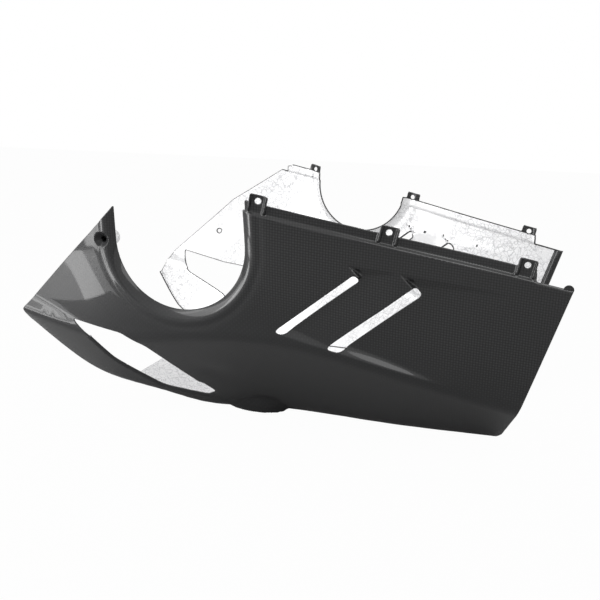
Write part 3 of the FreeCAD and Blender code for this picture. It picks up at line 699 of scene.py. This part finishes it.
def make_mesh(name, place, triangles, normals, uv, material):
    """Puts arrays into a mesh: places in millimetres, one normal and one UV for each vertex."""
    mesh = bpy.data.meshes.new(name)
    mesh.vertices.add(len(place))
    mesh.vertices.foreach_set("co", (place * MM).astype(np.float32).ravel())
    mesh.loops.add(triangles.size)
    mesh.loops.foreach_set("vertex_index", triangles.astype(np.int32).ravel())
    mesh.polygons.add(len(triangles))
    mesh.polygons.foreach_set("loop_start", np.arange(0, triangles.size, 3, dtype=np.int32))
    mesh.update(calc_edges=True)
    mesh.validate()
    mesh.polygons.foreach_set("use_smooth", np.ones(len(mesh.polygons), bool))
    mesh.normals_split_custom_set(normals[add_uv(mesh, uv)].tolist())
    mesh.materials.append(material)
    return add_object(name, mesh)


def weave_uv(x, run):
    """Cloth coordinates in millimetres: x, and height on the flank carried on along the section."""
    s = section_lengths(x)
    return np.stack([x, run - s["ledge"] + s["ridge_z"] + s["rise"] + 0.12 * x], 1)


def sheet_piece(name, points, triangles, material, thickness, inset=0.0, edge=EDGE_ROUND):
    """Closed sheet: its outer face, its inner face a wall further in, and a half-round edge.

    The normal of each face is that of the form itself, so the facets don't show in the gloss.
    """
    spots = unfold(points)
    plain, plain_normal = skin_place(*spots, ribs=False), skin_normal(*spots, ribs=False)
    if inset:
        place, normal = plain - plain_normal * inset, plain_normal
    else:
        place, normal = skin_place(*spots), skin_normal(*spots)
    inner = plain - plain_normal * (inset + thickness)
    count = len(points)
    a, b, out = rim_out(place, normal, triangles)
    border, where = np.unique(np.concatenate([a, b]), return_inverse=True)
    start, end = where[:len(a)], where[len(a):]
    rings, ring_normals = [], []
    angles = np.linspace(0, math.pi, 5)
    middle = (place[border] + inner[border]) / 2
    reach = (place[border] - inner[border]) / 2
    for angle in angles:
        rings.append(middle + reach * math.cos(angle) + out[border] * edge * math.sin(angle))
        ring_normals.append(normal[border] * math.cos(angle) + out[border] * math.sin(angle))
    places = np.concatenate([place, inner] + rings)
    normals = np.concatenate([normal, -plain_normal] + ring_normals)
    uv = weave_uv(*spots[:2])
    uvs = np.concatenate([uv, uv] + [uv[border]] * len(angles))
    faces = [triangles, triangles[:, ::-1] + count]
    first = 2 * count
    for k in range(len(angles) - 1):
        low, high = first + k * len(border), first + (k + 1) * len(border)
        faces.append(np.stack([low + end, low + start, high + start], 1))
        faces.append(np.stack([low + end, high + start, high + end], 1))
    return make_mesh(name, places, np.concatenate(faces), normals, uvs, material)


def clip_edges(points, triangles, margins):
    """Clips a sheet along each edge, less the margin that comes with it."""
    for edge, gap in margins:
        inset_edge = per_side(lambda *a, edge=edge, gap=gap: edge(*a) - gap)
        points, triangles = clip(points, triangles, inset_edge)
    return points, triangles


def shell_points():
    """The hull refined, then clipped along every edge less its round."""
    sheet = refine(*start_grid(54, 16, 18), shell_target)
    return tidy_triangles(*clip_edges(*sheet, [(edge, EDGE_ROUND) for edge in SHELL_EDGES]))


# Materials

def fill(tree, item, inputs):
    """Gives a node's inputs plain values, or links other sockets to them."""
    for key, value in dict(inputs).items():
        if isinstance(value, (int, float, tuple)):
            item.inputs[key].default_value = value
        else:
            tree.links.new(value, item.inputs[key])


def node(tree, kind, inputs=(), **values):
    """New shader node with its properties and inputs set."""
    item = tree.nodes.new(kind)
    for word, value in values.items():
        setattr(item, word, value)
    fill(tree, item, inputs)
    return item


def math_node(tree, operation, *inputs):
    """Result of a Math node."""
    return node(tree, "ShaderNodeMath", enumerate(inputs), operation=operation).outputs[0]


def map_range(tree, value, source, target=(0.0, 1.0), kind="LINEAR"):
    """The value carried from one range to another, and held at its ends."""
    words = ("Value", "From Min", "From Max", "To Min", "To Max")
    inputs = zip(words, (value, *source, *target))
    return node(tree, "ShaderNodeMapRange", inputs, interpolation_type=kind).outputs[0]


def mix_colour(tree, factor, first, second):
    """The first colour where the factor is 0, the second where it is 1."""
    inputs = {0: factor, 6: first, 7: second}
    return node(tree, "ShaderNodeMix", inputs, data_type="RGBA").outputs[2]


def noise(tree, vector, **values):
    """Noise texture over the vector."""
    return node(tree, "ShaderNodeTexNoise", dict(values, Vector=vector)).outputs


def bump(tree, height, strength, distance):
    """Normal bumped by the height, with the distance in metres."""
    inputs = dict(Height=height, Strength=strength, Distance=distance)
    return node(tree, "ShaderNodeBump", inputs).outputs[0]


def object_vector(tree):
    """Texture vector in metres that stays on the object."""
    return node(tree, "ShaderNodeTexCoord").outputs["Object"]


def weave_group():
    """Plain weave: the tows' height, which of the two lies over, and where they cover the gaps.

    Each tow is a low arch across its width, and it dips as a sine where it passes under its
    neighbour.
    """
    group = bpy.data.node_groups.new("Plain weave", "ShaderNodeTree")
    group.interface.new_socket("Vector", in_out="INPUT", socket_type="NodeSocketVector")
    size = group.interface.new_socket("Tow", in_out="INPUT", socket_type="NodeSocketFloat")
    size.default_value = 3.2
    for word in ("Height", "Warp", "Cover"):
        group.interface.new_socket(word, in_out="OUTPUT", socket_type="NodeSocketFloat")
    source = node(group, "NodeGroupInput")
    parts = node(group, "ShaderNodeSeparateXYZ", {0: source.outputs["Vector"]})
    u = math_node(group, "DIVIDE", parts.outputs[0], source.outputs["Tow"])
    v = math_node(group, "DIVIDE", parts.outputs[1], source.outputs["Tow"])

    def arch(value):
        """1 less 3.6 times the square of the distance from the tow's middle line."""
        centred = math_node(group, "SUBTRACT", math_node(group, "FRACT", value), 0.5)
        return math_node(group, "SUBTRACT", 1.0, math_node(
            group, "MULTIPLY", math_node(group, "MULTIPLY", centred, centred), 3.6))

    def dip(along, across, size):
        """Sine along the tow, turned over from each tow to the next."""
        phase = math_node(group, "ADD", along, math_node(group, "FLOOR", across))
        turn = math_node(group, "MULTIPLY", phase, math.pi)
        return math_node(group, "MULTIPLY", math_node(group, "SINE", turn), size)

    warp = math_node(group, "ADD", arch(u), dip(v, u, 0.5))
    weft = math_node(group, "ADD", arch(v), dip(u, v, -0.5))
    height = math_node(group, "MULTIPLY", arch(u), arch(v))
    node(group, "NodeGroupOutput", dict(
        Height=height, Warp=math_node(group, "GREATER_THAN", warp, weft),
        Cover=map_range(group, height, (0.1, 0.75))))
    return group


def new_material(name):
    """Material, its tree and its Principled shader."""
    material = bpy.data.materials.new(name)
    material.use_nodes = True
    tree = material.node_tree
    return material, tree, tree.nodes["Principled BSDF"]


def carbon_material(weave):
    """Clear-coated plain-weave laminate: dark tows with a little sheen, under a smooth coat.

    Towards the bottom of the pan the cloth fades and the coat's gloss falls, which paints the lower
    part darker, as shade. The bolt cup on the left flank has nearly all its gloss taken away and
    shows plain tows, which paints shade into the recess.
    """
    material, tree, shader = new_material("coated carbon")
    cloth_vector = node(tree, "ShaderNodeUVMap", uv_map="UVMap").outputs[0]
    cloth = node(tree, "ShaderNodeGroup", node_tree=weave)
    fill(tree, cloth, dict(Vector=cloth_vector, Tow=2.9))
    along, across, up = node(tree, "ShaderNodeSeparateXYZ", {0: object_vector(tree)}).outputs
    # Painted shade: low on the pan the weave fades and the coat's gloss drops, so the lower part
    # reads darker.
    height = math_node(tree, "SUBTRACT", up, math_node(tree, "MULTIPLY", along, -0.32))
    lower_fade_and_shade = map_range(tree, height, (0.17, 0.09), (0.0, 0.85), "SMOOTHSTEP")

    # Painted shade: inside the bolt cup nearly all the coat gloss is taken away, so the recess
    # reads dark.
    side_view = node(tree, "ShaderNodeCombineXYZ", {0: along, 2: up}).outputs[0]
    centre = (CUP["x"] * MM, 0, CUP["z"] * MM)
    away = node(tree, "ShaderNodeVectorMath", {0: side_view, 1: centre}, operation="DISTANCE")
    inside = map_range(tree, away.outputs["Value"], (0.0095, 0.0075), kind="SMOOTHSTEP")
    cup = math_node(tree, "MULTIPLY", inside, math_node(tree, "LESS_THAN", across, -0.15))

    cover = math_node(tree, "MAXIMUM", cloth.outputs["Cover"], lower_fade_and_shade)
    tow = mix_colour(tree, cloth.outputs["Warp"], (0.0155, 0.0158, 0.0165, 1),
                     (0.0185, 0.0188, 0.0195, 1))
    colour = mix_colour(tree, math_node(tree, "MAXIMUM", cover, cup),
                        (0.0025, 0.0025, 0.0027, 1), tow)
    gloss = map_range(tree, lower_fade_and_shade, (0.0, 1.0), (0.8, 0.42))
    gloss_left_by_cup_shade = math_node(tree, "SUBTRACT", 1.0, math_node(tree, "MULTIPLY", cup, 0.93))
    fill(tree, shader, {
        "Base Color": colour, "Roughness": 0.45, "Specular IOR Level": 0.2,
        "Coat Weight": math_node(tree, "MULTIPLY", gloss, gloss_left_by_cup_shade), "Coat Roughness": 0.05,
        "Coat IOR": 1.5, "Normal": bump(tree, cloth.outputs["Height"], 0.25, 0.0002)})
    return material


def foil_material():
    """Bright foil pressed by hand: nearly white, with fine grey creases that come in patches.

    The creases are the borders of warped cells, and winding lines where a noise passes through its
    middle value. Their grey is painted shade, and they are bumped a little.
    """
    material, tree, shader = new_material("heat foil")
    vector = object_vector(tree)
    fine = noise(tree, vector, Scale=60.0, Detail=3.0, Distortion=1.2)["Fac"]
    away = math_node(tree, "ABSOLUTE", math_node(tree, "SUBTRACT", fine, 0.5))
    winding = math_node(tree, "MAXIMUM", map_range(tree, away, (0.0, 0.02)), 0.45)
    sway = {0: noise(tree, vector, Scale=55.0)["Color"], 1: (0.016, 0.016, 0.016), 2: vector}
    warped = node(tree, "ShaderNodeVectorMath", sway, operation="MULTIPLY_ADD").outputs[0]
    cells = node(tree, "ShaderNodeTexVoronoi", dict(Scale=150.0, Vector=warped),
                 feature="DISTANCE_TO_EDGE")
    borders = map_range(tree, cells.outputs["Distance"], (0.0, 0.07))
    crease_shade_lines = math_node(tree, "MULTIPLY", winding, borders)
    patches = noise(tree, vector, Scale=14.0, Detail=2.0)["Fac"]
    smooth_part = map_range(tree, patches, (0.36, 0.58), (1.0, 0.0), "SMOOTHSTEP")
    tone = math_node(tree, "MAXIMUM", crease_shade_lines, smooth_part)
    # Painted shade: the crease lines turn the white foil grey.
    colour = mix_colour(tree, tone, (0.48, 0.48, 0.49, 1), (0.83, 0.83, 0.835, 1))
    height = math_node(tree, "ADD", math_node(tree, "MULTIPLY", fine, 0.7),
                       math_node(tree, "MULTIPLY", crease_shade_lines, 0.2))
    fill(tree, shader, {"Base Color": colour, "Metallic": 0.35, "Roughness": 0.4,
                        "Normal": bump(tree, height, 0.22, 0.001)})
    return material


def bore_material():
    """Bare drilled laminate: dark, dull and a little uneven."""
    material, tree, shader = new_material("bare bore")
    grain = noise(tree, object_vector(tree), Scale=900.0)["Fac"]
    colour = mix_colour(tree, grain, (0.004, 0.004, 0.004, 1), (0.02, 0.02, 0.02, 1))
    fill(tree, shader, {"Base Color": colour, "Roughness": 0.8, "Specular IOR Level": 0.1})
    return material


carbon = carbon_material(weave_group())
foil = foil_material()


# Pieces

def place_piece(piece, slot, *nodes):
    """Hangs the piece under the root body and hides the CAD nodes it stands in for; the slot is not
    used.
    """
    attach(piece, "root")
    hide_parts(*nodes)
    return piece


place_piece(sheet_piece("shell_skin", *shell_points(), carbon, WALL), "carbon", "pan_shell")


def foil_target(x, run, side):
    """Longest edge wanted at each place of the foils."""
    half, z = hull_point(x, run)
    near = edge_nearness(x, z, half, run, side)
    step = np.abs(z - top_line(x) + BAND_HEIGHT)
    size = np.clip(3 + (near - 5) * 0.5, 3, 8)
    return np.where((step < 4) & (run > 0), 3.0, size)


# Bare laminate left along each edge, and the seam between the side foils and the floor's
FOIL_MARGINS = ((front_edge, 1.2), (nose_tip, 1.2), (cut_out, 1.5), (band_edge, 1.5),
                (rear_edge, 11.0), (notch, 1.2), (outlet, 1.2), (slots, 2.2), (holes, 1.6))
SEAM, SEAM_GAP = ((-460, 45), (-333, 45), (-235, 34), (300, 34)), 0.7


def foil_sheet():
    """The hull inside its edges, which the three foils share."""
    return clip_edges(*refine(*start_grid(64, 20, 24), foil_target), FOIL_MARGINS)


def foil_piece(name, way, sheet, node_name):
    """One foil: its share of the sheet, above or below the seam."""
    def share(x, run, side):
        """Distance within this foil's part of the sheet."""
        above = hull_point(x, run)[1] - polyline(SEAM, x) - SEAM_GAP
        return np.where(side == way, above, -1.0) if way else -above - 2 * SEAM_GAP
    cut = tidy_triangles(*clip(*sheet, share))
    piece = sheet_piece(name, *cut, foil, FOIL_THICK, WALL + FOIL_GAP, FOIL_ROUND)
    return place_piece(piece, "foil", node_name)


sheet = foil_sheet()
foil_piece("foil_left", -1, sheet, "heat_foil_left")
foil_piece("foil_right", 1, sheet, "heat_foil_right")
foil_piece("foil_floor", 0, sheet, "heat_foil_floor")


# Bead inside each rear edge, and the boss behind the bolt cup

def ring_piece(name, grid, material, closed):
    """Faces over rows of rings; the rows close on themselves, or a flat face ends them."""
    rows, columns = grid.shape[:2]
    last = rows if closed else rows - 1
    i, j = np.meshgrid(np.arange(last), np.arange(columns), indexing="ij")
    i, j = i.ravel(), j.ravel()
    ahead, beyond = (i + 1) % rows * columns, (j + 1) % columns
    a, b, c, d = i * columns + j, i * columns + beyond, ahead + beyond, ahead + j
    faces = np.stack([a, b, c, d], 1).tolist()
    if not closed:
        faces += [list(range(columns))[::-1], list(range((rows - 1) * columns, rows * columns))]
    places = grid.reshape(-1, 3)
    mesh = bpy.data.meshes.new(name)
    mesh.from_pydata((places * MM).tolist(), [], faces)
    shape = bmesh.new()
    shape.from_mesh(mesh)
    bmesh.ops.recalc_face_normals(shape, faces=shape.faces)
    shape.to_mesh(mesh)
    shape.free()
    mesh.polygons.foreach_set("use_smooth", np.ones(len(mesh.polygons), bool))
    mesh.set_sharp_from_angle(angle=math.radians(50))
    add_uv(mesh, places[:, [0, 2]])
    mesh.materials.append(material)
    return add_object(name, mesh)


def flank_half(x, z):
    """Half width of the hull at each height, found by halving the run along the section."""
    low, high = np.full(len(x), -150.0), np.full(len(x), 260.0)
    for _ in range(30):
        middle = (low + high) / 2
        above = hull_point(x, middle)[1] > z
        low, high = np.where(above, low, middle), np.where(above, middle, high)
    return hull_point(x, low)[0]


def bead(name, side, knob):
    """Half-round bead inside the rear edge, from the heel to the top edge.

    Each ring is half a circle on the flank's surface. The knob is a quarter round above the edge:
    its radius falls as the root of the bead's radius squared less the height squared.
    """
    high = float(top_line(197) - BAND_HEIGHT)
    z = np.linspace(62.5, high, 24)
    radius = np.full(len(z), BEAD_RADIUS)
    if knob:
        rise = BEAD_RADIUS * np.sin(np.linspace(0.08, 1.52, 14))
        z = np.concatenate([z, high + rise])
        radius = np.concatenate([radius, np.sqrt(BEAD_RADIUS ** 2 - rise ** 2)])
    up, across = zip(*[(b, a) for a, b in REAR_EDGE])
    x = np.interp(z, up, across) - BEAD_INSET - EDGE_ROUND
    inset = np.where(z > high - 2, 0.5, 1.4)
    centre = np.stack([x, side * (flank_half(x, z) - inset), z], 1)
    tail = np.stack([x + 3, side * (flank_half(x + 3, z) - inset), z], 1) - centre
    tail /= np.linalg.norm(tail, axis=1)[:, None]
    inward = np.cross(tail, (0, 0, 1)) * side
    angle = np.linspace(0, math.pi, 15)[None, :, None]
    ring = np.cos(angle) * tail[:, None] + np.sin(angle) * inward[:, None]
    return ring_piece(name, centre[:, None] + ring * radius[:, None, None], carbon, False)


def boss_piece():
    """Foil-covered tube behind the bolt cup: a profile of depth and radius turned about the bore.

    The first row of faces and the last two are bare laminate.
    """
    start = flank_half(np.array([CUP["x"]]), CUP["z"])[0] - CUP["depth"]
    profile = np.array(((0.6, 3.3), (0.4, 8), (1.2, 8.5), (20.8, 8.5), (22.6, 8.1), (23.8, 7),
                        (24.2, 6), (24.2, 4), (23.8, 3.4)))
    around = 40
    angle = np.linspace(0, 2 * math.pi, around, endpoint=False)
    depth, radius = profile[:, 0, None], profile[:, 1, None]
    grid = np.stack([CUP["x"] + radius * np.cos(angle), depth - start + 0 * angle,
                     CUP["z"] + radius * np.sin(angle)], 2)
    piece = ring_piece("boss", grid, foil, True)
    piece.data.materials.append(bore_material())
    shade = np.zeros(len(piece.data.polygons), np.int32)
    shade[:around] = shade[-2 * around:] = 1
    piece.data.polygons.foreach_set("material_index", shade)
    return piece


place_piece(bead("bead_left", -1, True), "carbon", "pan_shell")
place_piece(bead("bead_right", 1, False), "carbon", "pan_shell")
place_piece(boss_piece(), "foil", "pan_shell")


# Floor, light and camera

FLOOR_WHITE = 0.975


def floor_material():
    """Pale floor: part of what the camera sees of it is plain white, the rest keeps the shadow."""
    material, tree, shader = new_material("pale floor")
    fill(tree, shader, {"Base Color": (0.45, 0.45, 0.45, 1), "Roughness": 0.9,
                        "Specular IOR Level": 0.1})
    rays = node(tree, "ShaderNodeLightPath")
    share = math_node(tree, "MULTIPLY", rays.outputs["Is Camera Ray"], FLOOR_WHITE)
    glow = node(tree, "ShaderNodeEmission").outputs[0]
    mixed = node(tree, "ShaderNodeMixShader", {0: share, 1: shader.outputs[0], 2: glow})
    fill(tree, tree.nodes["Material Output"], {"Surface": mixed.outputs[0]})
    return material


def floor_piece(size=8.0, height=-0.0004):
    """Square floor just under the part."""
    mesh = bpy.data.meshes.new("floor")
    mesh.from_pydata([(-size, -size, height), (size, -size, height), (size, size, height),
                      (-size, size, height)], [], [(0, 1, 2, 3)])
    mesh.materials.append(floor_material())
    add_object("floor", mesh)


def world_light():
    """Even pale light, which the camera, gloss and glass see as white."""
    world = bpy.data.worlds.new("studio")
    world.use_nodes = True
    bpy.context.scene.world = world
    tree = world.node_tree
    rays = node(tree, "ShaderNodeLightPath")
    seen = math_node(tree, "MAXIMUM", rays.outputs["Is Camera Ray"], math_node(
        tree, "MAXIMUM", rays.outputs["Is Glossy Ray"], rays.outputs["Is Transmission Ray"]))
    strength = map_range(tree, seen, (0.0, 1.0), (0.55, 1.0))
    fill(tree, tree.nodes["Background"], {"Strength": strength, "Color": (1, 1, 1, 1)})


# Lamps: place, point aimed at, width, height and power. The panel, the strip and the edge lamp
# lie low in front of the nose, where the chin arm reflects them.
LAMPS = dict(
    key=((-1.6, -1.2, 2.2), (-0.1, 0, 0.1), 1.6, 1.2, 12),
    low=((-1.2, -0.95, 0.72), (-0.35, -0.2, 0.3), 0.9, 1.38, 15),
    panel=((-0.73, -0.454, 0.012), (-0.72, -0.448, 1), 0.34, 0.34, 1.0),
    strip=((-0.70, -0.464, 0.02), (-0.69, -0.458, 1), 0.07, 0.34, 0.45),
    edge=((-0.76, -0.70, 0.12), (-0.40, -0.2, 0.13), 0.24, 0.2, 1.1),
    fill=((1.6, -1.4, 1.6), (0, 0, 0.1), 1.4, 1.4, 20))


def softbox(name, spot, aim, width, height, power):
    """Rectangular lamp that the camera doesn't see."""
    light = bpy.data.lights.new(name, "AREA")
    light.shape = "RECTANGLE"
    light.size, light.size_y, light.energy = width, height, power
    lamp = add_object(name, light)
    lamp.visible_camera = False
    lamp.location = spot
    lamp.rotation_euler = (Vector(aim) - Vector(spot)).to_track_quat("-Z", "Y").to_euler()


def photo_camera():
    """The photograph's view: from the left and a little above, rolled by a few degrees."""
    data = bpy.data.cameras.new("camera")
    data.lens, data.sensor_width = 45.0, 36.0
    camera = add_object("camera", data)
    focal, vanish_x, vanish_y = 750, 232, -162
    vanish = Vector((vanish_x / focal, vanish_y / focal, 1)).normalized()
    across = Vector((0, 1, 0)).cross(vanish).normalized()
    up = across.cross(vanish)
    roll = math.radians(5.5)
    x_axis = across * math.cos(roll) - up * math.sin(roll)
    z_axis = up * math.cos(roll) + across * math.sin(roll)
    rows = [Vector((x_axis[i], vanish[i], z_axis[i])) for i in range(3)]
    turn = Matrix((rows[0], -rows[1], -rows[2])).transposed()
    camera.matrix_world = Matrix.Translation((0.140, -0.960, 0.35575)) @ turn.to_4x4()
    bpy.context.scene.camera = camera


floor_piece()
world_light()
for lamp_name, lamp_values in LAMPS.items():
    softbox(lamp_name, *lamp_values)
photo_camera()
bpy.context.scene.view_settings.view_transform = "Standard"
